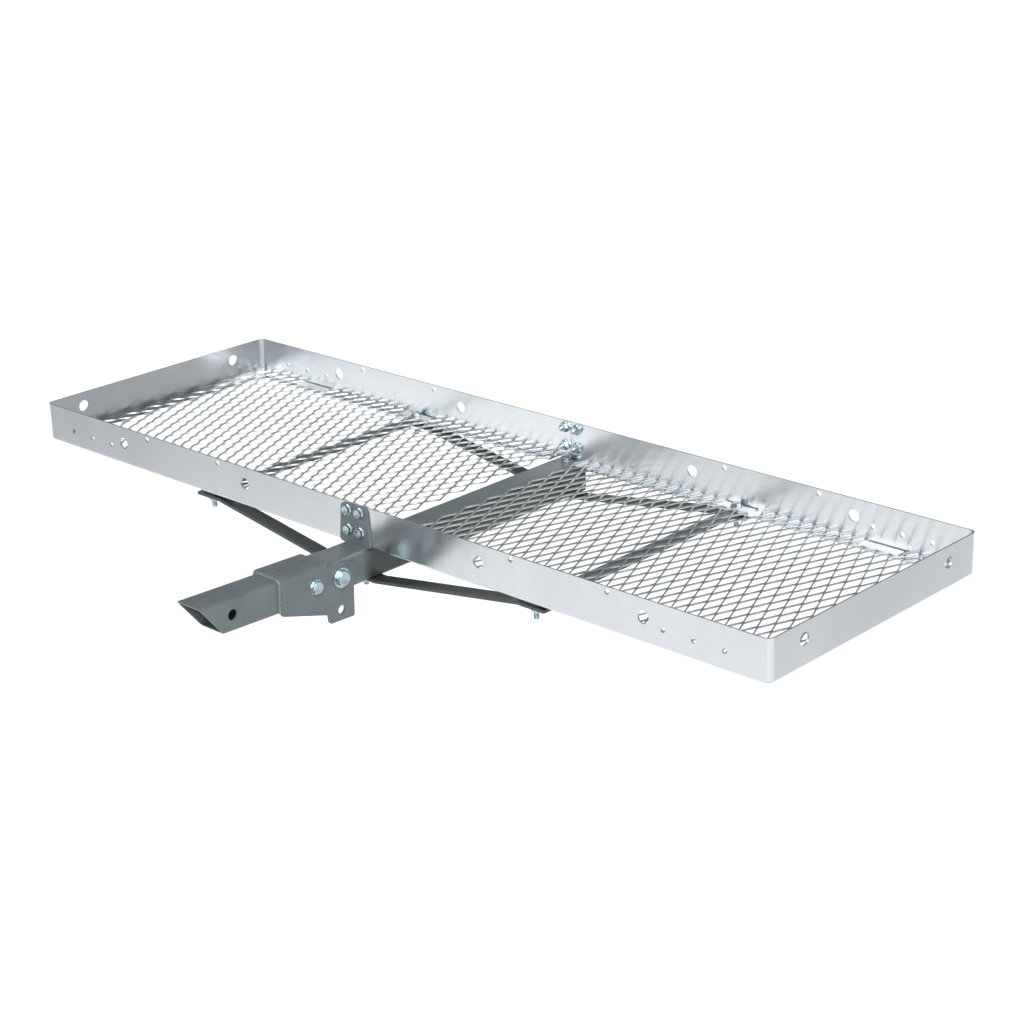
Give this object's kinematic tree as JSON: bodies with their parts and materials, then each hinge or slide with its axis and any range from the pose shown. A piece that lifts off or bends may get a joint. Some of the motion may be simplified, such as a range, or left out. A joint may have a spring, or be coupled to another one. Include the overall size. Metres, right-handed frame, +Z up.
{
  "type": "hitch cargo carrier",
  "caption": "Folding hitch-mounted cargo basket: bent sheet rails, expanded mesh floor, central square beam, and a pivot bracket on a receiver shank.",
  "frame": {"origin": "centre of the hitch pin hole, on the shank's axis", "axes": "+X along the basket's long side and the hitch pin hole, +Y away from the vehicle, +Z up with the basket level and unfolded"},
  "size_m": [1.524, 0.8154, 0.1572],
  "materials": {
    "painted_steel": "satin grey powder coat",
    "weld_bead": "rippled bead under grey powder coat",
    "aluminium_sheet": "bright mill finish",
    "aluminium_mesh": "bright expanded metal",
    "strip_metal": "bright flat strip",
    "zinc_plated_steel": "clear zinc plate"
  },
  "bodies": {
    "shank": {"shank_tube": "painted_steel", "pivot_bracket": "painted_steel", "shank_weld": "weld_bead", "pivot_bolt": "zinc_plated_steel", "pivot_washers": "zinc_plated_steel", "pivot_nut": "zinc_plated_steel", "lock_nut": "zinc_plated_steel"},
    "carrier": {"main_beam": "painted_steel", "splice_bracket_front": "painted_steel", "splice_bracket_rear": "painted_steel", "splice_bolts_front": "zinc_plated_steel", "splice_bolts_rear": "zinc_plated_steel", "splice_nuts_front": "zinc_plated_steel", "splice_nuts_rear": "zinc_plated_steel", "rail_left": "aluminium_sheet", "rail_right": "aluminium_sheet", "mesh_floor_left": "aluminium_mesh", "mesh_floor_right": "aluminium_mesh", "crossbar_left": "painted_steel", "crossbar_right": "painted_steel", "brace_front": "painted_steel", "brace_rear": "painted_steel", "clamp_plates": "strip_metal", "retainer_tabs": "strip_metal", "crossbar_bolts": "zinc_plated_steel", "crossbar_nuts": "zinc_plated_steel", "beam_bolts": "zinc_plated_steel", "beam_nuts": "zinc_plated_steel"},
    "lock": {"lock_bolt": "zinc_plated_steel", "lock_washer": "zinc_plated_steel"}
  },
  "joints": [
    {"name": "fold", "type": "hinge", "parent": "shank", "child": "carrier", "pos_m": [0, 0.20188, -0.00705], "axis": [1, 0, 0], "range_deg": [0, 90]},
    {"name": "lock_bolt_pull", "type": "slide", "parent": "shank", "child": "lock", "axis": [1, 0, 0], "range_m": [0, 0.1]}
  ]
}
